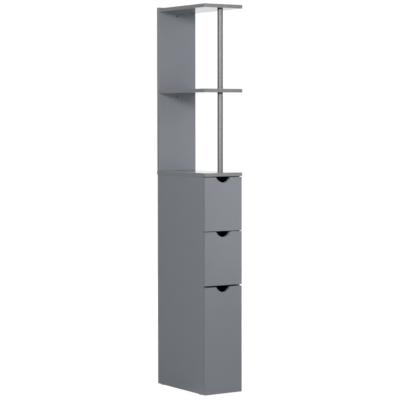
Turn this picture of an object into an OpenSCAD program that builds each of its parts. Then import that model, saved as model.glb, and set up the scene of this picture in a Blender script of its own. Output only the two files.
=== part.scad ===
// Narrow storage tower: a cabinet with three drawers, an upright board behind and two open shelves.
// Origin: middle of the footprint, on the floor. +X to the right, +Y to the back, +Z up. Millimetres.

/* [Overall] */
// Width of the shelves, the upright and the cabinet top
tower_w = 150; // [140:1:200]
// Depth of the shelves and of the cabinet top
tower_d = 300; // [270:5:360]
// Height of the upright's top edge above the floor
tower_h = 1300; // [1200:10:1400]
// Height of the cabinet top's upper face above the floor
cabinet_h = 740; // [690:5:800]
// Thickness of every laminated board
board_t = 12; // [12:0.5:16]
// Bevel along the edges of every board
edge_break = 0.5; // [0.2:0.1:0.8]

/* [Cabinet] */
// How far the cabinet top sticks out past each side panel
side_overhang = 1; // [0:0.5:3]
// How far the cabinet top sticks out past the drawer fronts
front_overhang = 1.5; // [0:0.5:4]
// How far the cabinet top sticks out behind the side panels and the upright
back_overhang = 2; // [0:0.5:4]
// Thickness of the hardboard back of the cabinet
back_panel_t = 3; // [2.5:0.5:4]
// Depth of the side panels behind the hardboard back
back_inset = 10; // [8:1:14]
// Height of the foot glides
foot_h = 2.5; // [1.5:0.5:6]
// Diameter of the foot glides
foot_d = 14; // [12:1:16]
// Distance from the side panels' ends to the middle of a foot glide
foot_inset = 22; // [14:1:40]
// Distance from the side panels' outer faces in to the foot glides
foot_edge = 1; // [0:0.5:3]
// Diameter of the nail in a foot glide
foot_nail_d = 1.8; // [1.5:0.1:2.4]
// Length of the nail in a foot glide
foot_nail_l = 12; // [8:1:16]

/* [Shelves] */
// Height of the upright's top edge above the top shelf
top_lip = 3; // [0:1:10]
// Diameter of the two wall-screw holes in the upright
wall_hole_d = 6; // [4:0.5:8]
// Distance from a shelf's underside down to the wall-screw hole below it
wall_hole_drop = 12.5; // [8:0.5:40]

/* [Pole] */
// Outer diameter of the pole
pole_d = 18; // [16:1:25]
// Wall of the pole tube
pole_wall = 1; // [0.8:0.1:1.5]
// Distance from the shelves' front edge back to the pole's axis
pole_setback = 21; // [16:1:40]
// How far the flange of a top plug stands out past the tube
collar_lip = 0; // [0:0.5:4]
// Height of the flange on a top plug
collar_h = 4; // [3:0.5:8]
// Length of a plug inside the tube
plug_l = 18; // [15:1:30]
// Diameter of the stud and of the screws in the pole
stud_d = 6; // [5:0.5:8]
// How deep the stud and the screws reach into a plug, flange included
stud_grip = 15; // [10:1:15]
// Head diameter of the pole screws
pole_screw_head_d = 11; // [9:0.5:14]

/* [Drawer fronts] */
// Height of the top and of the middle drawer front
small_front_h = 179; // [160:1:200]
// Gap between the cabinet top and the top drawer front
top_gap = 2.5; // [1:0.5:4]
// Gap between the top and the middle drawer front
middle_gap = 2; // [1:0.5:4]
// Gap between the middle and the tall drawer front
tall_gap = 5; // [1:0.5:6]
// Gap between the closed fronts and the side panels' front edges
front_clearance = 0.5; // [0.3:0.1:2]
// Height of the divider's underside above the middle front's lower edge
divider_rise = 0.5; // [0:0.5:10]
// Width of the finger cut-out along the front's top edge
cut_w = 58; // [40:1:80]
// Depth of the finger cut-out
cut_depth = 18; // [12:0.5:22]

/* [Drawer boxes] */
// Room between a closed drawer box and the hardboard back
drawer_back_gap = 16.5; // [5:0.5:40]
// How far the drawer sides end below their front's top edge
side_drop = 25; // [24:1:40]
// Clearance between a drawer side and the side panel
slide_gap = 0.75; // [0.5:0.05:1.5]
// Clearance between a drawer box and the panel under it
lift_gap = 1.5; // [1:0.5:3]
// Distance from a drawer side's lower edge up to its groove for the bottom
bottom_rise = 8; // [6:0.5:10]
// Thickness of the hardboard drawer bottoms
bottom_t = 3; // [2.5:0.5:4]
// Depth of the grooves that hold hardboard
groove_depth = 5; // [3:0.5:6]
// Clearance of the hardboard on each face of its groove
groove_play = 0.15; // [0.1:0.05:0.3]

/* [Runners] */
// Distance from the rails' rear ends to the hardboard back
runner_back_gap = 15; // [2:1:40]
// Height of a runner rail
runner_h = 10; // [8:0.5:14]
// How far a runner rail stands out from the side panel
runner_t = 5; // [4:0.5:5.5]
// Distance from the side panels' front edges back to the rails
runner_setback = 6; // [4:1:12]
// Clearance above and below a rail in the drawer side's groove
runner_play = 0.3; // [0.2:0.05:0.5]
// Clearance between a rail's face and the bottom of its groove
runner_face_play = 0.5; // [0.3:0.1:1]
// Bevel along a rail's two free edges
runner_bevel = 0.8; // [0.4:0.1:1.5]
// Distance from a rail's ends to its outer screws
runner_screw_inset = 30; // [15:5:60]
// Shank diameter of the runner screws
runner_screw_d = 3; // [2.5:0.5:3.5]
// Length of the runner screws
runner_screw_l = 13; // [11:1:15]

/* [Fittings] */
// Diameter of a cam lock
cam_d = 12; // [10:1:15]
// Distance from a board's end to the middle of its cam locks
cam_inset = 24; // [20:1:34]
// Shaft diameter of a cam bolt
bolt_d = 6; // [5:0.5:6.5]
// Thread diameter of a cam bolt
bolt_thread_d = 5; // [4:0.5:6]
// How deep a cam bolt's thread sits in a board's face
bolt_thread_l = 8.5; // [6:0.5:9]
// Diameter of the dowels
dowel_d = 6; // [5:0.5:6.5]
// How deep a dowel sits in a board's face
dowel_face_l = 8; // [6:0.5:9]
// How deep a dowel sits in a board's end
dowel_end_l = 16; // [12:1:24]
// Shank diameter of the board screws
screw_d = 4; // [3:0.5:4.5]
// Head diameter of the board screws
screw_head_d = 8; // [7:0.5:9]
// Length of the board screws
screw_l = 40; // [35:5:50]
// Clearance around every fastener and plug
fit = 0.1; // [0.05:0.05:0.2]
// Distance of the carcass fittings from the cabinet's middle, front and back
fitting_y = 98; // [80:2:110]
// Distance from a fitting to the dowel beside it
dowel_pitch = 32; // [25:1:40]
// Distance of the drawer's cam locks from the upper and lower edge of its side
drawer_cam_edge = 25; // [21:1:30]
// Distance of the shelf screws from the tower's middle
shelf_screw_x = 52; // [40:1:60]
// Distance of the shelf dowels from the tower's middle
shelf_dowel_x = 26; // [15:1:30]

/* [Hidden] */
$fn = 48;
BEYOND = 1; // how far a cutter reaches past the face it opens

// Colours
LAMINATE = "#84888d";
HARDBOARD = "#8b8d8f";
STEEL = "#b4b6b8";
ZINC = "#a8aaa6";
DARK_PLASTIC = "#2e2f31";
WHITE_NYLON = "#dcdcd8";
BEECH = "#c9a26b";

// Planes of the tower
shelf_front_y = -tower_d / 2;
top_back_y = tower_d / 2;
front_face_y = shelf_front_y + front_overhang;
front_back_y = front_face_y + board_t;
body_front_y = front_back_y + front_clearance;
body_back_y = top_back_y - back_overhang;
back_panel_y = body_back_y - back_inset - back_panel_t;
upright_y = body_back_y - board_t;
side_x = tower_w / 2 - side_overhang;
inner_x = side_x - board_t;
body_top_z = cabinet_h - board_t;

// Shelves, at equal spacing above the cabinet top
bay_h = (tower_h - top_lip - cabinet_h - 2 * board_t) / 2;
middle_shelf_z = cabinet_h + bay_h;
top_shelf_z = middle_shelf_z + board_t + bay_h;
shelf_d = upright_y - shelf_front_y;

// Panels across the cabinet
base_z = foot_h;
middle_front_z = body_top_z - top_gap - 2 * small_front_h - middle_gap;
divider_z = middle_front_z + divider_rise;

// Drawers, as [lower edge of the front, height of the front]
TOP = [middle_front_z + small_front_h + middle_gap, small_front_h];
MIDDLE = [middle_front_z, small_front_h];
TALL = [foot_h, middle_front_z - tall_gap - foot_h];
DRAWERS = [TOP, MIDDLE, TALL];
box_rise = divider_rise + board_t + lift_gap;
box_x = inner_x - slide_gap;
box_inner_x = box_x - board_t;
box_back_y = back_panel_y - drawer_back_gap;
drawer_d = box_back_y - front_back_y;
cut_r = (pow(cut_w / 2, 2) + pow(cut_depth, 2)) / (2 * cut_depth);
function box_z(drawer) = drawer[0] + box_rise;
function side_h(drawer) = drawer[1] - side_drop - box_rise;
function runner_z(drawer) = box_z(drawer) + side_h(drawer) / 2;

// Runners and their grooves
runner_y = body_front_y + runner_setback;
runner_l = back_panel_y - runner_back_gap - runner_y;
runner_groove_depth = runner_t - slide_gap + runner_face_play;

// Fittings: the head of a cam bolt, the slot for it, and the room around both
head_l = 3;
head_taper = 0.6;
head_play = 0.3;
bolt_neck_d = bolt_d - 2.4;
slot_r = bolt_d / 2 + head_play;
cam_h = board_t / 2 + bolt_d / 2 + 4 * fit;
pocket_h = cam_h + 2 * fit;
dowel_y = fitting_y - dowel_pitch;
dowel_drop = 22; // from a drawer's runner down to the dowel beside it
dowel_bevel = 1;
dowel_slack = 0.5;
recess_w = 0.9;
recess_depth = 1.2;
screw_tip_r = 0.3;
pole_y = shelf_front_y + pole_setback;
plug_d = pole_d - 2 * pole_wall - 2 * fit;
plug_nose = 1.5;
collar_d = pole_d + 2 * collar_lip;
collar_bevel = 0.3;

// ---- Forms that repeat ----

// Rectangle with its four corners bevelled
module bevelled(a, b) {
    c = edge_break;
    polygon([[c, 0], [a - c, 0], [a, c], [a, b - c], [a - c, b], [c, b], [0, b - c], [0, c]]);
}

// Board with all twelve edges bevelled and its low corner at the origin
module board(w, d, h) {
    intersection() {
        linear_extrude(h) bevelled(w, d);
        translate([0, d, 0]) rotate([90, 0, 0]) linear_extrude(d) bevelled(w, h);
        rotate([90, 0, 90]) linear_extrude(w) bevelled(d, h);
    }
}

// The children on the right, and their mirror image on the left
module both_sides() {
    children();
    mirror([1, 0, 0]) children();
}

module on_left() { mirror([1, 0, 0]) children(); }

// ---- Fasteners ----
// A joint's own frame has z = 0 at the plane where the boards meet, +Z into the board whose end
// meets it, and +X towards the face from which the cam lock is set in.

// Cam lock: a drum with a slot that takes the head of the bolt, and a cross recess to turn it
module cam_lock() {
    translate([board_t / 2, 0, cam_inset]) rotate([0, -90, 0]) difference() {
        cylinder(d = cam_d, h = cam_h);
        translate([-cam_d, -slot_r, board_t / 2 - slot_r])
            cube([cam_d + head_l / 2 + head_play, 2 * slot_r, cam_h]);
        cross_recess(cam_d / 2);
    }
}

// Cross recess sunk into the face at z = 0
module cross_recess(length) {
    for (turn = [0, 90]) rotate(turn)
        translate([-length / 2, -recess_w / 2, -BEYOND])
            cube([length, recess_w, recess_depth + BEYOND]);
}

// Cam bolt: thread, shaft, neck and head in one turned piece
module cam_bolt() {
    r = bolt_d / 2;
    neck_z = cam_inset - head_l * 1.5;
    head_z = cam_inset - head_l / 2;
    neck_r = bolt_neck_d / 2;
    rotate_extrude() polygon([
        [0, -bolt_thread_l], [bolt_thread_d / 2, -bolt_thread_l], [bolt_thread_d / 2, 0], [r, 0],
        [r, neck_z - r + neck_r], [neck_r, neck_z], [neck_r, head_z - head_taper],
        [r, head_z], [r, head_z + head_l / 2], [neck_r, head_z + head_l], [0, head_z + head_l]
    ]);
}

// Pocket for the cam lock and bore for the bolt, in the board whose end meets the joint
module cam_cut() {
    translate([board_t / 2, 0, cam_inset]) rotate([0, -90, 0])
        translate([0, 0, -BEYOND]) cylinder(d = cam_d + 2 * fit, h = pocket_h + BEYOND);
    translate([0, 0, -BEYOND]) cylinder(d = bolt_d + 2 * fit, h = cam_inset + BEYOND);
}

// Hole for the bolt's thread, in the board whose face meets the joint
module thread_cut() {
    translate([0, 0, -bolt_thread_l - 2 * fit])
        cylinder(d = bolt_thread_d + 2 * fit, h = bolt_thread_l + 2 * fit + BEYOND);
}

module dowel() {
    r = dowel_d / 2;
    c = dowel_bevel;
    rotate_extrude() polygon([
        [0, -dowel_face_l], [r - c, -dowel_face_l], [r, c - dowel_face_l],
        [r, dowel_end_l - c], [r - c, dowel_end_l], [0, dowel_end_l]
    ]);
}

// Hole for a dowel, through both boards of the joint
module dowel_cut() {
    translate([0, 0, -dowel_face_l - dowel_slack])
        cylinder(d = dowel_d + 2 * fit, h = dowel_face_l + dowel_end_l + 2 * dowel_slack);
}

// Countersunk screw along -Z, its head flush with z = 0
module screw(d, l, head_d) {
    difference() {
        rotate_extrude() polygon([
            [0, 0], [head_d / 2, 0], [d / 2, (d - head_d) / 2], [d / 2, d - l],
            [screw_tip_r, -l], [0, -l]
        ]);
        rotate([180, 0, 0]) cross_recess(head_d / 2);
    }
}

module screw_cut(d, l, head_d) {
    r = d / 2 + fit;
    head_r = head_d / 2 + fit;
    rotate_extrude() polygon([
        [0, BEYOND], [head_r, BEYOND], [head_r, 0], [r, r - head_r], [r, -l - fit], [0, -l - fit]
    ]);
}

// ---- Where the fasteners go ----

// Right end of a panel between the sides, at the panel's lower face panel_z, cam locks from below
module panel_end(panel_z, y) {
    translate([inner_x, y, panel_z + board_t / 2]) rotate([0, -90, 0]) rotate(180) children();
}

// Upper end of the right side panel, under the cabinet top, cam locks from inside
module side_top(y) {
    translate([inner_x + board_t / 2, y, body_top_z]) rotate([0, 180, 0]) children();
}

// The carcass's joints at the distance y before and behind the cabinet's middle
module carcass_places(y) {
    both_sides() for (end = [-1, 1]) {
        for (z = [base_z, divider_z]) panel_end(z, end * y) children();
        side_top(end * y) children();
    }
}

// Front end of a drawer's right side, cam locks from inside
module drawer_joint(drawer, z) {
    translate([box_x - board_t / 2, front_back_y, box_z(drawer) + z])
        rotate([90, 0, 180]) children();
}

module drawer_cam_places(drawer) {
    for (z = [drawer_cam_edge, side_h(drawer) - drawer_cam_edge])
        drawer_joint(drawer, z) children();
}

module drawer_dowel_place(drawer) {
    drawer_joint(drawer, side_h(drawer) / 2 - dowel_drop) children();
}

// Rear end of a drawer's right side, where screws hold the back
module drawer_screw_places(drawer) {
    for (z = [drawer_cam_edge, side_h(drawer) - drawer_cam_edge])
        translate([box_x, box_back_y - board_t / 2, box_z(drawer) + z])
            rotate([0, 90, 0]) children();
}

// Rear face of the upright at both shelves, and the underside of the cabinet top at the upright
module upright_screw_places() {
    for (side = [-1, 1]) {
        for (z = [middle_shelf_z, top_shelf_z])
            translate([side * shelf_screw_x, body_back_y, z + board_t / 2])
                rotate([-90, 0, 0]) children();
        translate([side * shelf_screw_x, upright_y + board_t / 2, body_top_z])
            rotate([180, 0, 0]) children();
    }
}

// Front face of the upright at both shelves, and the upper face of the cabinet top at the upright
module upright_dowel_places() {
    for (side = [-1, 1]) {
        for (z = [middle_shelf_z, top_shelf_z])
            translate([side * shelf_dowel_x, upright_y, z + board_t / 2])
                rotate([90, 0, 0]) children();
        translate([side * shelf_dowel_x, upright_y + board_t / 2, cabinet_h]) children();
    }
}

module runner_screw_places(drawer) {
    for (y = [runner_y + runner_screw_inset, runner_y + runner_l - runner_screw_inset])
        translate([inner_x - runner_t, y, runner_z(drawer)]) rotate([0, -90, 0]) children();
}

module foot_places() {
    both_sides() for (y = [body_front_y + foot_inset, body_back_y - foot_inset])
        translate([side_x - foot_edge - foot_d / 2, y, 0]) children();
}

module pole_screw_places() {
    translate([0, pole_y, body_top_z]) rotate([180, 0, 0]) children();
    translate([0, pole_y, top_shelf_z + board_t]) children();
}

// ---- Cabinet ----

module side_panel() {
    difference() {
        translate([inner_x, body_front_y, foot_h])
            board(board_t, body_back_y - body_front_y, body_top_z - foot_h);
        translate([inner_x - BEYOND, back_panel_y - groove_play, foot_h - BEYOND])
            cube([groove_depth + BEYOND, back_panel_t + 2 * groove_play, body_top_z]);
        for (end = [-1, 1]) {
            for (z = [base_z, divider_z]) panel_end(z, end * fitting_y) thread_cut();
            side_top(end * fitting_y) cam_cut();
        }
        carcass_places(dowel_y) dowel_cut();
        for (drawer = DRAWERS) runner_screw_places(drawer) runner_screw_cut();
        foot_places() foot_nail(fit);
    }
}

module left_side_panel() { color(LAMINATE) on_left() side_panel(); }
module right_side_panel() { color(LAMINATE) side_panel(); }

// Panel between the sides, from the front edge back to y_end
module cross_panel(z, y_end) {
    difference() {
        translate([-inner_x, body_front_y, z]) board(2 * inner_x, y_end - body_front_y, board_t);
        both_sides() for (end = [-1, 1]) {
            panel_end(z, end * fitting_y) cam_cut();
            panel_end(z, end * dowel_y) dowel_cut();
        }
    }
}

module base_panel() {
    color(LAMINATE) difference() {
        cross_panel(base_z, body_back_y);
        translate([-inner_x - BEYOND, back_panel_y - groove_play, base_z + board_t - groove_depth])
            cube([2 * (inner_x + BEYOND), back_panel_t + 2 * groove_play, groove_depth + BEYOND]);
    }
}

module divider_panel() { color(LAMINATE) cross_panel(divider_z, back_panel_y - groove_play); }

module cabinet_top_panel() {
    color(LAMINATE) difference() {
        translate([-tower_w / 2, shelf_front_y, body_top_z]) board(tower_w, tower_d, board_t);
        both_sides() for (end = [-1, 1]) {
            side_top(end * fitting_y) thread_cut();
            side_top(end * dowel_y) dowel_cut();
        }
        upright_screw_places() board_screw_cut();
        upright_dowel_places() dowel_cut();
        pole_screw_places() pole_screw_cut();
    }
}

module cabinet_back_panel() {
    reach = inner_x + groove_depth - 2 * groove_play;
    low_z = base_z + board_t - groove_depth + 2 * groove_play;
    color(HARDBOARD) translate([-reach, back_panel_y, low_z])
        cube([2 * reach, back_panel_t, body_top_z - groove_play - low_z]);
}

module carcass_cam_locks() { color(ZINC) carcass_places(fitting_y) cam_lock(); }
module carcass_cam_bolts() { color(ZINC) carcass_places(fitting_y) cam_bolt(); }
module carcass_dowels() { color(BEECH) carcass_places(dowel_y) dowel(); }

// Nail of a foot glide, grown by clearance for its hole
module foot_nail(clearance) {
    translate([0, 0, foot_h / 2])
        cylinder(d = foot_nail_d + 2 * clearance, h = foot_h / 2 + foot_nail_l + clearance);
}

module foot_glides() {
    color(WHITE_NYLON) foot_places() {
        rotate_extrude() polygon([
            [0, 0], [foot_d / 2 - foot_h / 3, 0], [foot_d / 2, foot_h / 3],
            [foot_d / 2, foot_h], [0, foot_h]
        ]);
        foot_nail(0);
    }
}

// ---- Upright and shelves ----

module board_screw() { screw(screw_d, screw_l, screw_head_d); }
module board_screw_cut() { screw_cut(screw_d, screw_l, screw_head_d); }

module upright_panel() {
    color(LAMINATE) difference() {
        translate([-tower_w / 2, upright_y, cabinet_h])
            board(tower_w, board_t, tower_h - cabinet_h);
        upright_screw_places() board_screw_cut();
        upright_dowel_places() dowel_cut();
        for (z = [middle_shelf_z, top_shelf_z])
            translate([0, upright_y - BEYOND, z - wall_hole_drop]) rotate([-90, 0, 0])
                cylinder(d = wall_hole_d, h = board_t + 2 * BEYOND);
    }
}

module shelf(z) {
    difference() {
        translate([-tower_w / 2, shelf_front_y, z]) board(tower_w, shelf_d, board_t);
        upright_screw_places() board_screw_cut();
        upright_dowel_places() dowel_cut();
    }
}

module middle_shelf() {
    color(LAMINATE) difference() {
        shelf(middle_shelf_z);
        translate([0, pole_y, middle_shelf_z - BEYOND])
            cylinder(d = stud_d + 4 * fit, h = board_t + 2 * BEYOND);
    }
}

module top_shelf() {
    color(LAMINATE) difference() {
        shelf(top_shelf_z);
        pole_screw_places() pole_screw_cut();
    }
}

module shelf_dowels() { color(BEECH) upright_dowel_places() dowel(); }
module shelf_screws() { color(ZINC) upright_screw_places() board_screw(); }

// ---- Pole ----

// Tube from the board at z up to the flange under the board one bay higher
module pole_tube(z) {
    translate([0, pole_y, z]) difference() {
        cylinder(d = pole_d, h = bay_h - collar_h);
        translate([0, 0, -BEYOND])
            cylinder(d = pole_d - 2 * pole_wall, h = bay_h - collar_h + 2 * BEYOND);
    }
}

module lower_pole() { color(STEEL) pole_tube(cabinet_h); }
module upper_pole() { color(STEEL) pole_tube(middle_shelf_z + board_t); }

// Turned plug with its tapered nose at +Z, its foot at z = 0 and a flange of height h below that
module plug(h) {
    r = plug_d / 2;
    c = collar_bevel;
    bore_r = stud_d / 2 + fit;
    nose = [
        [r, plug_l - plug_nose], [r - plug_nose / 2, plug_l], [bore_r, plug_l]
    ];
    flange = [
        [bore_r, -h], [collar_d / 2 - c, -h], [collar_d / 2, c - h],
        [collar_d / 2, -c], [collar_d / 2 - c, 0], [r, 0]
    ];
    rotate_extrude() polygon(concat(h > 0 ? flange : [[bore_r, 0], [r, 0]], nose));
}

module pole_base_plugs() {
    color(DARK_PLASTIC) for (z = [cabinet_h, middle_shelf_z + board_t])
        translate([0, pole_y, z]) plug(0);
}

module pole_top_plugs() {
    color(DARK_PLASTIC) for (z = [middle_shelf_z, top_shelf_z])
        translate([0, pole_y, z - collar_h]) mirror([0, 0, 1]) plug(collar_h);
}

// Stud through the middle shelf, from the lower tube's top plug into the upper tube's base plug
module pole_stud() {
    color(ZINC) translate([0, pole_y, middle_shelf_z - stud_grip])
        cylinder(d = stud_d, h = board_t + 2 * stud_grip);
}

module pole_screw_cut() { screw_cut(stud_d, board_t + stud_grip, pole_screw_head_d); }

module pole_screws() {
    color(ZINC) pole_screw_places() screw(stud_d, board_t + stud_grip, pole_screw_head_d);
}

// ---- Runners ----

module runner_screw() { screw(runner_screw_d, runner_screw_l, 2 * runner_screw_d); }
module runner_screw_cut() { screw_cut(runner_screw_d, runner_screw_l, 2 * runner_screw_d); }

module runner_pair(drawer) {
    c = runner_bevel;
    color(WHITE_NYLON) both_sides() difference() {
        translate([inner_x, runner_y, runner_z(drawer)]) rotate([-90, 0, 0])
            linear_extrude(runner_l) polygon([
                [0, -runner_h / 2], [0, runner_h / 2], [c - runner_t, runner_h / 2],
                [-runner_t, runner_h / 2 - c], [-runner_t, c - runner_h / 2],
                [c - runner_t, -runner_h / 2]
            ]);
        runner_screw_places(drawer) runner_screw_cut();
    }
}

module top_drawer_runners() { runner_pair(TOP); }
module middle_drawer_runners() { runner_pair(MIDDLE); }
module tall_drawer_runners() { runner_pair(TALL); }

module runner_screws() {
    color(ZINC) both_sides() for (drawer = DRAWERS) runner_screw_places(drawer) runner_screw();
}

// ---- Drawers ----

// Groove for the drawer bottom, from the middle out past the inner faces of the sides
module bottom_groove(drawer) {
    reach = box_inner_x + groove_depth;
    translate([-reach, front_back_y - groove_depth, box_z(drawer) + bottom_rise])
        cube([2 * reach, drawer_d + groove_depth + BEYOND, bottom_t + 2 * groove_play]);
}

// Full-overlay front with the round finger cut-out in its top edge
module drawer_front(drawer) {
    cut_z = drawer[0] + drawer[1] + cut_r - cut_depth;
    color(LAMINATE) difference() {
        translate([-side_x, front_face_y, drawer[0]]) board(2 * side_x, board_t, drawer[1]);
        translate([0, front_face_y - BEYOND, cut_z]) rotate([-90, 0, 0]) {
            cylinder(r = cut_r, h = board_t + 2 * BEYOND);
            cylinder(r1 = cut_r + BEYOND + edge_break, r2 = cut_r, h = BEYOND + edge_break);
            translate([0, 0, board_t + BEYOND - edge_break])
                cylinder(r1 = cut_r, r2 = cut_r + BEYOND + edge_break, h = BEYOND + edge_break);
        }
        bottom_groove(drawer);
        both_sides() {
            drawer_cam_places(drawer) thread_cut();
            drawer_dowel_place(drawer) dowel_cut();
        }
    }
}

// Right side of a drawer, with the runner's groove in its outer face
module drawer_side(drawer) {
    difference() {
        translate([box_inner_x, front_back_y, box_z(drawer)])
            board(board_t, drawer_d, side_h(drawer));
        translate([box_x - runner_groove_depth, front_back_y - BEYOND,
                   runner_z(drawer) - runner_h / 2 - runner_play])
            cube([runner_groove_depth + BEYOND, drawer_d + 2 * BEYOND, runner_h + 2 * runner_play]);
        bottom_groove(drawer);
        drawer_cam_places(drawer) cam_cut();
        drawer_dowel_place(drawer) dowel_cut();
        drawer_screw_places(drawer) board_screw_cut();
    }
}

module drawer_back(drawer) {
    low_z = box_z(drawer) + bottom_rise + bottom_t + 2 * groove_play;
    color(LAMINATE) difference() {
        translate([-box_inner_x, box_back_y - board_t, low_z])
            board(2 * box_inner_x, board_t, box_z(drawer) + side_h(drawer) - low_z);
        both_sides() drawer_screw_places(drawer) board_screw_cut();
    }
}

module drawer_bottom(drawer) {
    reach = box_inner_x + groove_depth - 2 * groove_play;
    front_y = front_back_y - groove_depth + 2 * groove_play;
    color(HARDBOARD) translate([-reach, front_y, box_z(drawer) + bottom_rise + groove_play])
        cube([2 * reach, box_back_y - front_y, bottom_t]);
}

module drawer_cam_locks(drawer) {
    color(ZINC) both_sides() drawer_cam_places(drawer) cam_lock();
}

module drawer_cam_bolts(drawer) {
    color(ZINC) both_sides() drawer_cam_places(drawer) cam_bolt();
}

module drawer_dowels(drawer) {
    color(BEECH) both_sides() drawer_dowel_place(drawer) dowel();
}

module drawer_screws(drawer) {
    color(ZINC) both_sides() drawer_screw_places(drawer) board_screw();
}

module top_drawer_front() { drawer_front(TOP); }
module top_drawer_left_side() { color(LAMINATE) on_left() drawer_side(TOP); }
module top_drawer_right_side() { color(LAMINATE) drawer_side(TOP); }
module top_drawer_back() { drawer_back(TOP); }
module top_drawer_bottom() { drawer_bottom(TOP); }
module top_drawer_cam_locks() { drawer_cam_locks(TOP); }
module top_drawer_cam_bolts() { drawer_cam_bolts(TOP); }
module top_drawer_dowels() { drawer_dowels(TOP); }
module top_drawer_screws() { drawer_screws(TOP); }

module middle_drawer_front() { drawer_front(MIDDLE); }
module middle_drawer_left_side() { color(LAMINATE) on_left() drawer_side(MIDDLE); }
module middle_drawer_right_side() { color(LAMINATE) drawer_side(MIDDLE); }
module middle_drawer_back() { drawer_back(MIDDLE); }
module middle_drawer_bottom() { drawer_bottom(MIDDLE); }
module middle_drawer_cam_locks() { drawer_cam_locks(MIDDLE); }
module middle_drawer_cam_bolts() { drawer_cam_bolts(MIDDLE); }
module middle_drawer_dowels() { drawer_dowels(MIDDLE); }
module middle_drawer_screws() { drawer_screws(MIDDLE); }

module tall_drawer_front() { drawer_front(TALL); }
module tall_drawer_left_side() { color(LAMINATE) on_left() drawer_side(TALL); }
module tall_drawer_right_side() { color(LAMINATE) drawer_side(TALL); }
module tall_drawer_back() { drawer_back(TALL); }
module tall_drawer_bottom() { drawer_bottom(TALL); }
module tall_drawer_cam_locks() { drawer_cam_locks(TALL); }
module tall_drawer_cam_bolts() { drawer_cam_bolts(TALL); }
module tall_drawer_dowels() { drawer_dowels(TALL); }
module tall_drawer_screws() { drawer_screws(TALL); }

left_side_panel();
right_side_panel();
base_panel();
divider_panel();
cabinet_top_panel();
cabinet_back_panel();
upright_panel();
middle_shelf();
top_shelf();
carcass_cam_locks();
carcass_cam_bolts();
carcass_dowels();
shelf_dowels();
shelf_screws();
foot_glides();
lower_pole();
upper_pole();
pole_base_plugs();
pole_top_plugs();
pole_stud();
pole_screws();
top_drawer_runners();
middle_drawer_runners();
tall_drawer_runners();
runner_screws();
top_drawer_front();
top_drawer_left_side();
top_drawer_right_side();
top_drawer_back();
top_drawer_bottom();
top_drawer_cam_locks();
top_drawer_cam_bolts();
top_drawer_dowels();
top_drawer_screws();
middle_drawer_front();
middle_drawer_left_side();
middle_drawer_right_side();
middle_drawer_back();
middle_drawer_bottom();
middle_drawer_cam_locks();
middle_drawer_cam_bolts();
middle_drawer_dowels();
middle_drawer_screws();
tall_drawer_front();
tall_drawer_left_side();
tall_drawer_right_side();
tall_drawer_back();
tall_drawer_bottom();
tall_drawer_cam_locks();
tall_drawer_cam_bolts();
tall_drawer_dowels();
tall_drawer_screws();
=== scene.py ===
"""Narrow bathroom storage tower: its finishes, the two tubes of its pole, and the studio round it."""
import math

import bmesh
import bpy
from mathutils import Matrix, Vector


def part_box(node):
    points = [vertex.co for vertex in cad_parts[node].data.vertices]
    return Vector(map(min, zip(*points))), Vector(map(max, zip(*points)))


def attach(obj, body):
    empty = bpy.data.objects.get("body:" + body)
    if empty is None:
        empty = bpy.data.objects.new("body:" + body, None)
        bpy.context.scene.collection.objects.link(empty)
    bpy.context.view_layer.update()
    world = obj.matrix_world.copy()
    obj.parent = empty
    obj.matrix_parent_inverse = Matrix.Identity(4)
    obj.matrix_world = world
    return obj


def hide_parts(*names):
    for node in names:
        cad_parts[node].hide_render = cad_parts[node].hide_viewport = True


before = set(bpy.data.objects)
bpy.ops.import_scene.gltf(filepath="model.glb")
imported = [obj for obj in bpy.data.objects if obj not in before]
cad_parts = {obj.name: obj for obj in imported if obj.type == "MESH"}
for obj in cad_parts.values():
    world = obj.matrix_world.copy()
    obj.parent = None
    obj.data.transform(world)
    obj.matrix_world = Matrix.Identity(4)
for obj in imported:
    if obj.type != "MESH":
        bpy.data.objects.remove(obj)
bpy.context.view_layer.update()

MM = 0.001
X, Y, Z = range(3)
DRAWERS = ("top_drawer", "middle_drawer", "tall_drawer")

# ---- Camera ----
# Found from the corners of the boards: a long lens at chest height, turned 33 degrees to the front.

PICTURE_WIDTH = 400           # pixels
LENS_PIXELS = 1574.4          # focal length, in the same pixels
SENSOR = 36.0
CAMERA_PLACE = (-2.9271, -4.4729, 0.9169)
YAW, PITCH, ROLL = math.radians(33.237), math.radians(-2.928), math.radians(-0.058)
REACH = 60                    # metres that the camera sees, past the whole floor

camera = bpy.data.objects.new("camera", bpy.data.cameras.new("camera"))
bpy.context.scene.collection.objects.link(camera)
camera.data.sensor_fit = "HORIZONTAL"
camera.data.sensor_width = SENSOR
camera.data.lens = LENS_PIXELS / PICTURE_WIDTH * SENSOR
camera.data.clip_end = REACH
camera.location = CAMERA_PLACE
camera.rotation_euler = (Matrix.Rotation(-YAW, 3, "Z") @ Matrix.Rotation(math.pi / 2 + PITCH, 3, "X")
                         @ Matrix.Rotation(ROLL, 3, "Z")).to_euler()
bpy.context.scene.camera = camera
bpy.context.scene.view_settings.view_transform = "Standard"


# ---- Colours and nodes ----

def colour(text):
    """sRGB hex text as a linear colour with alpha."""
    parts = [int(text[i:i + 2], 16) / 255 for i in (1, 3, 5)]
    return [p / 12.92 if p <= 0.04045 else ((p + 0.055) / 1.055) ** 2.4 for p in parts] + [1.0]


def add(tree, kind, inputs=None, **settings):
    """Adds a node with its settings. inputs maps a socket's name or number to a value or an output."""
    made = tree.nodes.new(kind)
    for name, value in settings.items():
        setattr(made, name, value)
    for socket, value in (inputs or {}).items():
        if isinstance(value, bpy.types.NodeSocket):
            tree.links.new(value, made.inputs[socket])
        else:
            made.inputs[socket].default_value = value
    return made


def new_material(name):
    """An empty node material and its tree."""
    made = bpy.data.materials.new(name)
    made.use_nodes = True
    made.node_tree.nodes.clear()
    return made, made.node_tree


def spaced(millimetres):
    """The scale at which a noise or Voronoi pattern has features this far apart."""
    return 1 / (millimetres * MM)


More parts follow.
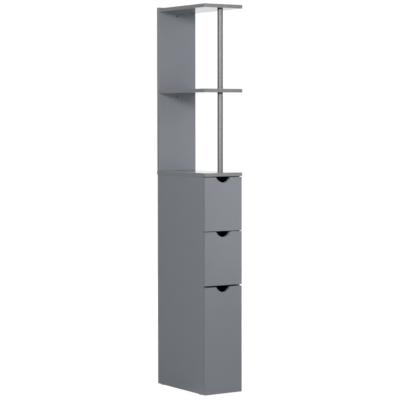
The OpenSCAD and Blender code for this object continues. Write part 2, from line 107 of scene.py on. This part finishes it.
def dress(material, *nodes):
    """Gives CAD nodes this material."""
    for name in nodes:
        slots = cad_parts[name].data.materials
        slots.clear()
        slots.append(material)


# ---- Laminated chipboard ----

BAND = 1.0 * MM               # thickness of the edge band
SEAM = 0.3 * MM               # its glue line, really 0.1 mm, drawn wider so that it shows
BREAK = 0.75 * MM             # what lies deeper than this under all six faces was cut into the board
CUT_OUT = 19 * MM             # reach of the finger cut-out below the front's upper edge

CLOUD = 70                    # mm from cloud to cloud in the printed paper, a hand's width
PEARL = 1.5                   # mm from pearl to pearl, really 0.2 mm, drawn wider so that they show
PEARL_HEIGHT, PEARL_STRENGTH = 0.05 * MM, 0.12
FLAKE = 2.4                   # mm across a flake of the chipboard

PAPER = ("#7f8389", "#82868d")          # the two tones of its clouds
EDGE_BAND = "#7f8182"
GLUE_LINE = "#66686a"
SAWN_CHIPS = ("#7d6648", "#b3976e")     # dark and light flakes, as a saw or a cutter leaves them
HOLE_CHIPS_WITH_PAINTED_SHADE = ("#5f584e", "#83796b")  # and darker in the upright's deep drilled holes: painted shade, for the shade such holes hold

SATIN = (0.30, 0.36)          # roughness of the paper, which the pearls vary
MIRROR = 0.06                 # and its roughness to a glance along the face
GLANCE = (0.6, 0.93)          # how far the face turns away as the one becomes the other
CHIP_ROUGHNESS = 0.9


def laminated_board(node, thin, banded_cut=0.0, chips=SAWN_CHIPS):
    """Melamine paper pressed on chipboard, with glued plastic edge bands: a quiet grey with a satin
    sheen that turns mirror-like along the face, a hairline beside each edge, and bare chips wherever
    the board is drilled or grooved. thin is the axis of its thickness, banded_cut how far a cut-out
    lined with edge band reaches down from the upper edge, and chips the tones of the bare wood."""
    material, tree = new_material("melamine_chipboard_" + node)
    low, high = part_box(node)
    place = add(tree, "ShaderNodeTexCoord").outputs["Object"]

    # Depth under the nearest of the two wide faces, and under the nearest of the four edges
    above = add(tree, "ShaderNodeVectorMath", {0: place, 1: low}, operation="SUBTRACT")
    below = add(tree, "ShaderNodeVectorMath", {0: high, 1: place}, operation="SUBTRACT")
    depth = add(tree, "ShaderNodeVectorMath", {0: above.outputs[0], 1: below.outputs[0]},
                operation="MINIMUM")
    split = add(tree, "ShaderNodeSeparateXYZ", {0: depth.outputs[0]})
    across = [split.outputs[axis] for axis in (X, Y, Z) if axis != thin]
    face = split.outputs[thin]
    edge = add(tree, "ShaderNodeMath", {0: across[0], 1: across[1]}, operation="MINIMUM").outputs[0]

    # Masks: what was cut into the board, its banded edges, and their glue line
    least = add(tree, "ShaderNodeMath", {0: face, 1: edge}, operation="MINIMUM").outputs[0]
    cut = add(tree, "ShaderNodeMath", {0: least, 1: BREAK}, operation="GREATER_THAN").outputs[0]
    if banded_cut:
        drop = add(tree, "ShaderNodeSeparateXYZ", {0: below.outputs[0]}).outputs[Z]
        lower = add(tree, "ShaderNodeMath", {0: drop, 1: banded_cut}, operation="GREATER_THAN")
        cut = add(tree, "ShaderNodeMath", {0: cut, 1: lower.outputs[0]}, operation="MULTIPLY").outputs[0]
    on_edge = add(tree, "ShaderNodeMath", {0: face, 1: BREAK}, operation="GREATER_THAN").outputs[0]
    seam = add(tree, "ShaderNodeMath", {0: edge, 1: BAND, 2: SEAM / 2}, operation="COMPARE").outputs[0]

    # The paper is cloudy, with a pearl grain from the press plate
    cloud = add(tree, "ShaderNodeTexNoise", {"Vector": place, "Scale": spaced(CLOUD), "Detail": 3.0})
    pearl = add(tree, "ShaderNodeTexNoise", {"Vector": place, "Scale": spaced(PEARL), "Detail": 1.0})
    paper = add(tree, "ShaderNodeMix", {"Factor": cloud.outputs["Fac"], "A": colour(PAPER[0]),
                                        "B": colour(PAPER[1])}, data_type="RGBA")
    band = add(tree, "ShaderNodeMix", {"Factor": on_edge, "A": paper.outputs["Result"],
                                       "B": colour(EDGE_BAND)}, data_type="RGBA")
    glued = add(tree, "ShaderNodeMix", {"Factor": seam, "A": band.outputs["Result"],
                                        "B": colour(GLUE_LINE)}, data_type="RGBA")

    # The bare chipboard is flakes in resin, light and dark by the wood they came from
    flakes = add(tree, "ShaderNodeTexVoronoi", {"Vector": place, "Scale": spaced(FLAKE)})
    tone = add(tree, "ShaderNodeSeparateColor", {0: flakes.outputs["Color"]})
    wood = add(tree, "ShaderNodeMix", {"Factor": tone.outputs[0], "A": colour(chips[0]),
                                       "B": colour(chips[1])}, data_type="RGBA")
    body = add(tree, "ShaderNodeMix", {"Factor": cut, "A": glued.outputs["Result"],
                                       "B": wood.outputs["Result"]}, data_type="RGBA")

    sheen = add(tree, "ShaderNodeMapRange", {"Value": pearl.outputs["Fac"], "To Min": SATIN[0],
                                             "To Max": SATIN[1]})
    view = add(tree, "ShaderNodeLayerWeight")
    glance = add(tree, "ShaderNodeMapRange", {"Value": view.outputs["Facing"], "From Min": GLANCE[0],
                                              "From Max": GLANCE[1]})
    gloss = add(tree, "ShaderNodeMix", {"Factor": glance.outputs["Result"],
                                        "A": sheen.outputs["Result"], "B": MIRROR})
    rough = add(tree, "ShaderNodeMix", {"Factor": cut, "A": gloss.outputs["Result"],
                                        "B": CHIP_ROUGHNESS})
    bump = add(tree, "ShaderNodeBump", {"Height": pearl.outputs["Fac"], "Strength": PEARL_STRENGTH,
                                        "Distance": PEARL_HEIGHT})
    surface = add(tree, "ShaderNodeBsdfPrincipled",
                  {"Base Color": body.outputs["Result"], "Roughness": rough.outputs["Result"],
                   "Normal": bump.outputs["Normal"], "IOR": 1.5})
    add(tree, "ShaderNodeOutputMaterial", {"Surface": surface.outputs["BSDF"]})
    return material


BOARDS = [("left_side_panel", X), ("right_side_panel", X), ("base_panel", Z), ("divider_panel", Z),
          ("cabinet_top_panel", Z), ("middle_shelf", Z), ("top_shelf", Z)]
for drawer in DRAWERS:
    BOARDS += [(drawer + "_left_side", X), (drawer + "_right_side", X), (drawer + "_back", Y)]
for board, thin in BOARDS:
    dress(laminated_board(board, thin), board)
# The upright's holes take the darker chip tones: painted shade for its deep drilled holes
dress(laminated_board("upright_panel", Y, chips=HOLE_CHIPS_WITH_PAINTED_SHADE), "upright_panel")
for drawer in DRAWERS:
    dress(laminated_board(drawer + "_front", Y, CUT_OUT), drawer + "_front")


# ---- Hardboard ----

FIBRE = 1.1                   # mm across a bundle of fibres, really 0.3 mm, drawn wider so that it shows
PATCH = 40                    # mm from patch to patch in the paint, as the roller laid it
WIRE = 2 * MM                 # from wire to wire of the screen, really 1.2 mm, drawn wider so that it shows
PRINT_DEPTH, PRINT_STRENGTH = 0.2 * MM, 0.6
BROWN = ("#5d4127", "#8a6540")
GREY_PAINT = ("#7e8287", "#84888c")
PAINT_ROUGHNESS, FIBRE_ROUGHNESS = 0.5, 0.85


def painted_hardboard(node, axis, bare_side):
    """Pressed wood fibre, painted grey on the side that shows inside. The other side is bare: brown,
    matt, and printed with the wire screen it was pressed on. bare_side is 1 where the bare face is the
    far one along axis, and -1 where it is the near one."""
    material, tree = new_material("hardboard_" + node)
    low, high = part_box(node)
    place = add(tree, "ShaderNodeTexCoord").outputs["Object"]
    at = add(tree, "ShaderNodeSeparateXYZ", {0: place}).outputs
    middle = (low[axis] + high[axis]) / 2
    bare = add(tree, "ShaderNodeMath", {0: at[axis], 1: middle},
               operation="GREATER_THAN" if bare_side > 0 else "LESS_THAN").outputs[0]
    fibre = add(tree, "ShaderNodeTexNoise", {"Vector": place, "Scale": spaced(FIBRE), "Detail": 4.0})
    patch = add(tree, "ShaderNodeTexNoise", {"Vector": place, "Scale": spaced(PATCH), "Detail": 2.0})
    brown = add(tree, "ShaderNodeMix", {"Factor": fibre.outputs["Fac"], "A": colour(BROWN[0]),
                                        "B": colour(BROWN[1])}, data_type="RGBA")
    paint = add(tree, "ShaderNodeMix", {"Factor": patch.outputs["Fac"], "A": colour(GREY_PAINT[0]),
                                        "B": colour(GREY_PAINT[1])}, data_type="RGBA")
    body = add(tree, "ShaderNodeMix", {"Factor": bare, "A": paint.outputs["Result"],
                                       "B": brown.outputs["Result"]}, data_type="RGBA")

    # The screen's print: wires that cross, pressed into the bare side alone
    wires = []
    for along in (X, Y, Z):
        if along != axis:
            turn = add(tree, "ShaderNodeMath", {0: at[along], 1: 2 * math.pi / WIRE},
                       operation="MULTIPLY")
            wires.append(add(tree, "ShaderNodeMath", {0: turn.outputs[0]}, operation="SINE").outputs[0])
    woven = add(tree, "ShaderNodeMath", {0: wires[0], 1: wires[1]}, operation="MULTIPLY")
    print_height = add(tree, "ShaderNodeMath", {0: woven.outputs[0], 1: bare}, operation="MULTIPLY")
    bump = add(tree, "ShaderNodeBump", {"Height": print_height.outputs[0], "Strength": PRINT_STRENGTH,
                                        "Distance": PRINT_DEPTH})
    rough = add(tree, "ShaderNodeMix", {"Factor": bare, "A": PAINT_ROUGHNESS, "B": FIBRE_ROUGHNESS})
    surface = add(tree, "ShaderNodeBsdfPrincipled",
                  {"Base Color": body.outputs["Result"], "Roughness": rough.outputs["Result"],
                   "Normal": bump.outputs["Normal"]})
    add(tree, "ShaderNodeOutputMaterial", {"Surface": surface.outputs["BSDF"]})
    return material


dress(painted_hardboard("cabinet_back_panel", Y, 1), "cabinet_back_panel")
for drawer in DRAWERS:
    dress(painted_hardboard(drawer + "_bottom", Z, -1), drawer + "_bottom")


# ---- Metals, plastics and beech ----

GRAIN_HEIGHT, GRAIN_STRENGTH = 0.02 * MM, 0.3
EVEN = (1, 1, 1)              # a grain that is as fine along every axis


def grained(name, pale, dark, grain, finer, rough, metallic=0.0):
    """A finish with one even grain: pale and dark are its two tones, grain its spacing in millimetres,
    finer how much finer it is along each axis, and rough its lowest and highest roughness."""
    material, tree = new_material(name)
    place = add(tree, "ShaderNodeTexCoord").outputs["Object"]
    scaled = add(tree, "ShaderNodeMapping", {"Vector": place, "Scale": finer})
    speck = add(tree, "ShaderNodeTexNoise", {"Vector": scaled.outputs[0], "Scale": spaced(grain),
                                             "Detail": 3.0})
    body = add(tree, "ShaderNodeMix", {"Factor": speck.outputs["Fac"], "A": colour(dark),
                                       "B": colour(pale)}, data_type="RGBA")
    sheen = add(tree, "ShaderNodeMapRange", {"Value": speck.outputs["Fac"], "To Min": rough[0],
                                             "To Max": rough[1]})
    bump = add(tree, "ShaderNodeBump", {"Height": speck.outputs["Fac"], "Strength": GRAIN_STRENGTH,
                                        "Distance": GRAIN_HEIGHT})
    surface = add(tree, "ShaderNodeBsdfPrincipled",
                  {"Base Color": body.outputs["Result"], "Roughness": sheen.outputs["Result"],
                   "Normal": bump.outputs["Normal"], "Metallic": metallic})
    add(tree, "ShaderNodeOutputMaterial", {"Surface": surface.outputs["BSDF"]})
    return material


# Zinc pressed in a mould, then tumbled: dull and cloudy under its thin grey oxide, in clouds 2 mm wide
cast_zinc = grained("cast_zinc", "#b2b4b5", "#969899", 2.0, EVEN, (0.42, 0.56), 0.75)
# Steel with bright zinc plating: cool and smooth, a little cloudy from the bath. Its crystals are
# 0.02 mm wide, drawn at 1.1 mm so that they show.
plated_steel = grained("zinc_plated_steel", "#adb0b3", "#9a9da0", 1.1, EVEN, (0.22, 0.32), 1.0)
# Moulded plastic, dark grey partly as painted shade for the shade at each tube's top end under its shelf:
# a soft broad highlight from the mould's spark texture, whose pits are 0.1 mm wide and drawn at 0.8 mm so
# that they show
plastic_and_painted_shade = grained("dark_plastic_and_painted_shade", "#3f4042", "#37383a", 0.8, EVEN, (0.42, 0.55))
# Extruded nylon: milky white and waxy, with faint die lines along the rail. They lie 0.3 mm apart and
# are drawn at 1.4 mm so that they show.
nylon = grained("extruded_nylon", "#e4e4df", "#d8d8d2", 1.4, (1, 0.04, 1), (0.35, 0.45))
# Turned beech: warm and dry, with short brown flecks 1.2 mm wide
beech = grained("turned_beech", "#cfa873", "#b48a55", 1.2, (1, 1, 0.25), (0.6, 0.75))

dress(cast_zinc, "carcass_cam_locks", *(drawer + "_cam_locks" for drawer in DRAWERS))
dress(plated_steel, "carcass_cam_bolts", "shelf_screws", "pole_stud", "pole_screws", "runner_screws",
      *(drawer + "_cam_bolts" for drawer in DRAWERS), *(drawer + "_screws" for drawer in DRAWERS))
# The top plugs' dark grey is partly painted shade where the tubes meet the underside of each shelf
dress(plastic_and_painted_shade, "pole_base_plugs", "pole_top_plugs")
dress(nylon, "foot_glides", *(drawer + "_runners" for drawer in DRAWERS))
dress(beech, "carcass_dowels", "shelf_dowels", *(drawer + "_dowels" for drawer in DRAWERS))


# ---- Pole ----

WALL = 1.0 * MM               # of the tube
RIM = 0.25 * MM               # rounding of its cut ends
RIM_STEPS = 4
SIDES = 72                    # flats round the tube, smooth to the eye
SQUARE = math.radians(60)     # edges that turn more than this are the rims of the cut ends
CREASE = math.radians(40)     # and past this shading shows an edge

STEEL = ("#8e8e8f", "#9c9c9c")
STEEL_ROUGHNESS = (0.60, 0.68)
SCRATCH = 33                  # mm that a ring runs on before it changes
RING = 30                     # how much finer it is along the tube: 1.1 mm from ring to ring


def ground_steel_tube():
    """Stainless tube turned against an abrasive belt: fine rings round it, so that each highlight is a
    narrow stripe from end to end, a little brighter and duller from ring to ring. The belt's scratches
    are 0.05 mm wide, and the rings are drawn wider so that they show."""
    material, tree = new_material("ground_stainless_steel")
    place = add(tree, "ShaderNodeTexCoord").outputs["Object"]
    rings = add(tree, "ShaderNodeMapping", {"Vector": place, "Scale": (1, 1, RING)})
    scratch = add(tree, "ShaderNodeTexNoise", {"Vector": rings.outputs[0], "Scale": spaced(SCRATCH),
                                               "Detail": 3.0})
    body = add(tree, "ShaderNodeMix", {"Factor": scratch.outputs["Fac"], "A": colour(STEEL[0]),
                                       "B": colour(STEEL[1])}, data_type="RGBA")
    sheen = add(tree, "ShaderNodeMapRange", {"Value": scratch.outputs["Fac"],
                                             "To Min": STEEL_ROUGHNESS[0],
                                             "To Max": STEEL_ROUGHNESS[1]})
    round_it = add(tree, "ShaderNodeTangent", direction_type="RADIAL", axis="Z")
    surface = add(tree, "ShaderNodeBsdfPrincipled",
                  {"Base Color": body.outputs["Result"], "Roughness": sheen.outputs["Result"],
                   "Metallic": 1.0, "Anisotropic": 0.4, "Anisotropic Rotation": 0.25,
                   "Tangent": round_it.outputs[0]})
    add(tree, "ShaderNodeOutputMaterial", {"Surface": surface.outputs["BSDF"]})
    return material


def pole_tube(node, finish):
    """One length of the pole, which stands for its CAD node: a wall spun round the upright axis, with
    the burr taken off its cut ends."""
    low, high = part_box(node)
    middle = (low + high) / 2
    outer = (high.x - low.x) / 2
    section = [(outer, low.z), (outer, high.z), (outer - WALL, high.z), (outer - WALL, low.z)]
    bm = bmesh.new()
    corners = [bm.verts.new((middle.x + radius, middle.y, height)) for radius, height in section]
    outline = [bm.edges.new(pair) for pair in zip(corners, corners[1:] + corners[:1])]
    bmesh.ops.spin(bm, geom=corners + outline, cent=(middle.x, middle.y, 0), axis=(0, 0, 1),
                   angle=2 * math.pi, steps=SIDES, use_merge=True)
    rims = [edge for edge in bm.edges if edge.calc_face_angle() > SQUARE]
    bmesh.ops.bevel(bm, geom=rims, offset=RIM, offset_type="OFFSET", segments=RIM_STEPS, profile=0.5,
                    affect="EDGES", material=-1)
    bmesh.ops.recalc_face_normals(bm, faces=bm.faces)
    mesh = bpy.data.meshes.new(node + "_tube")
    bm.to_mesh(mesh)
    bm.free()
    mesh.shade_smooth()
    mesh.set_sharp_from_angle(angle=CREASE)
    mesh.materials.append(finish)
    tube = bpy.data.objects.new(node + "_tube", mesh)
    bpy.context.scene.collection.objects.link(tube)
    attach(tube, "root")
    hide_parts(node)


steel = ground_steel_tube()
for pole in ("lower_pole", "upper_pole"):
    pole_tube(pole, steel)


# ---- Lamps ----
# Each is a square that faces the tower's middle. turn is its angle from straight ahead of the drawers,
# in degrees towards +X, and distance, height and side are in metres. A lamp that isn't mirrored lights
# matt surfaces alone.

MIDDLE = Vector((0, 0, 0.7))
LAMPS = [
    # name, turn, distance, height, side, watts, mirrored
    ("key_left", -60, 4.0, 2.0, 0.8, 59, True),
    ("key", -45, 4.0, 2.0, 0.8, 68, True),
    ("near_front", 10, 1.3, 1.2, 0.65, 4.2, True),
    ("near_right", 40, 1.3, 1.9, 0.65, 2.2, True),
    ("low_right", 40, 1.3, 0.6, 0.65, 1.9, True),
    ("overhead", 0, 0.0, 3.2, 2.0, 24, False),
    ("right", 105, 3.5, 1.6, 1.8, 70, False),
    ("rear", 175, 3.5, 1.6, 1.8, 60, True),
]
for name, turn, distance, height, side, watts, mirrored in LAMPS:
    light = bpy.data.lights.new(name, "AREA")
    light.shape = "SQUARE"
    light.size = side
    light.energy = watts
    lamp = bpy.data.objects.new(name, light)
    bpy.context.scene.collection.objects.link(lamp)
    angle = math.radians(turn)
    lamp.location = (distance * math.sin(angle), -distance * math.cos(angle), height)
    lamp.rotation_euler = (MIDDLE - lamp.location).to_track_quat("-Z", "Y").to_euler()
    lamp.visible_glossy = mirrored


# ---- Room ----

WHITE = colour("#ffffff")
BACKDROP = 1.03               # what the camera sees beyond the floor: just past white
AMBIENT = 0.01                # what reaches matt faces from all round
WALLS = 0.12                  # what glossy faces see to the sides of the white backdrop
CAMERA_SIDE = 0.55            # what they see of the room behind the camera
CEILING = 0.6                 # and overhead
AHEAD = (math.sin(YAW), math.cos(YAW), 0)
BACKDROP_EDGE = (0.6, 0.85)   # cosines from straight ahead between which the backdrop begins,
ROOM_EDGE = (-0.9, -0.2)      # and between which the room behind the camera ends
CEILING_EDGE = (0.4, 0.9)     # and from straight up between which the ceiling begins


def surroundings(tree, towards):
    """What glossy faces see in a direction: the white backdrop ahead, and a dimmer room elsewhere, with
    a pale ceiling."""
    ahead = add(tree, "ShaderNodeVectorMath", {0: towards, 1: AHEAD},
                operation="DOT_PRODUCT").outputs["Value"]
    backdrop = add(tree, "ShaderNodeMapRange", {"Value": ahead, "From Min": BACKDROP_EDGE[0],
                                                "From Max": BACKDROP_EDGE[1], "To Min": WALLS,
                                                "To Max": 1.0})
    room = add(tree, "ShaderNodeMapRange", {"Value": ahead, "From Min": ROOM_EDGE[0],
                                            "From Max": ROOM_EDGE[1], "To Min": CAMERA_SIDE,
                                            "To Max": WALLS})
    up = add(tree, "ShaderNodeSeparateXYZ", {0: towards}).outputs[Z]
    ceiling = add(tree, "ShaderNodeMapRange", {"Value": up, "From Min": CEILING_EDGE[0],
                                               "From Max": CEILING_EDGE[1], "To Min": WALLS,
                                               "To Max": CEILING})
    level = add(tree, "ShaderNodeMath", {0: backdrop.outputs["Result"], 1: room.outputs["Result"]},
                operation="MAXIMUM")
    return add(tree, "ShaderNodeMath", {0: level.outputs[0], 1: ceiling.outputs["Result"]},
               operation="MAXIMUM").outputs[0]


def light_room():
    """What lies beyond the floor: white for the camera, the surroundings for glossy faces, and next to
    nothing for matt ones."""
    world = bpy.data.worlds.new("studio")
    bpy.context.scene.world = world
    world.use_nodes = True
    tree = world.node_tree
    tree.nodes.clear()
    path = add(tree, "ShaderNodeLightPath").outputs
    clear = add(tree, "ShaderNodeMath", {0: path["Is Camera Ray"], 1: path["Is Transmission Ray"]},
                operation="MAXIMUM").outputs[0]
    towards = add(tree, "ShaderNodeTexCoord").outputs["Generated"]
    gloss = add(tree, "ShaderNodeMix", {"Factor": path["Is Glossy Ray"], "A": AMBIENT,
                                        "B": surroundings(tree, towards)})
    level = add(tree, "ShaderNodeMix", {"Factor": clear, "A": gloss.outputs["Result"], "B": BACKDROP})
    glow = add(tree, "ShaderNodeBackground", {"Color": WHITE, "Strength": level.outputs["Result"]})
    add(tree, "ShaderNodeOutputWorld", {"Surface": glow.outputs[0]})


# ---- Floor ----

FLOOR_RADIUS, FLOOR_SIDES = 8.0, 96
NEAR, FAR = 0.4, 5.0          # metres from the tower between which the glow rises
NEAR_GLOW, FAR_GLOW = 0.9, 1.02
PALE = colour("#c0c0c0")      # the paint as it lights the tower
FAINT = colour("#6f6f6f")     # and what the camera sees of it on top of the glow


def sweep_paint():
    """White paint that lights the tower from below. For the camera it also glows to just past white, a
    little less beside the tower, and keeps a trace of the tower's soft shadow. Glossy faces see the
    surroundings in it."""
    paint, tree = new_material("white_studio_paint")
    path = add(tree, "ShaderNodeLightPath").outputs
    place = add(tree, "ShaderNodeTexCoord").outputs["Object"]
    away = add(tree, "ShaderNodeVectorMath", {0: place}, operation="LENGTH").outputs["Value"]
    glow = add(tree, "ShaderNodeMapRange", {"Value": away, "From Min": NEAR, "From Max": FAR,
                                            "To Min": NEAR_GLOW, "To Max": FAR_GLOW}).outputs["Result"]
    strength = add(tree, "ShaderNodeMath", {0: path["Is Camera Ray"], 1: glow}, operation="MULTIPLY")
    coat = add(tree, "ShaderNodeMix", {"Factor": path["Is Camera Ray"], "A": PALE, "B": FAINT},
               data_type="RGBA")
    matt = add(tree, "ShaderNodeBsdfDiffuse", {"Color": coat.outputs["Result"]})
    lit = add(tree, "ShaderNodeEmission", {"Color": WHITE, "Strength": strength.outputs[0]})
    both = add(tree, "ShaderNodeAddShader", {0: matt.outputs[0], 1: lit.outputs[0]})
    straight = add(tree, "ShaderNodeVectorMath", {0: place}, operation="NORMALIZE").outputs[0]
    mirrored = add(tree, "ShaderNodeEmission", {"Color": WHITE,
                                                "Strength": surroundings(tree, straight)})
    shown = add(tree, "ShaderNodeMixShader", {0: path["Is Glossy Ray"], 1: both.outputs[0],
                                              2: mirrored.outputs[0]})
    add(tree, "ShaderNodeOutputMaterial", {"Surface": shown.outputs[0]})
    return paint


def lay_floor():
    """A round white sweep under the tower."""
    bm = bmesh.new()
    bmesh.ops.create_circle(bm, cap_ends=True, segments=FLOOR_SIDES, radius=FLOOR_RADIUS)
    mesh = bpy.data.meshes.new("floor")
    bm.to_mesh(mesh)
    bm.free()
    mesh.materials.append(sweep_paint())
    floor = bpy.data.objects.new("floor", mesh)
    bpy.context.scene.collection.objects.link(floor)


light_room()
lay_floor()
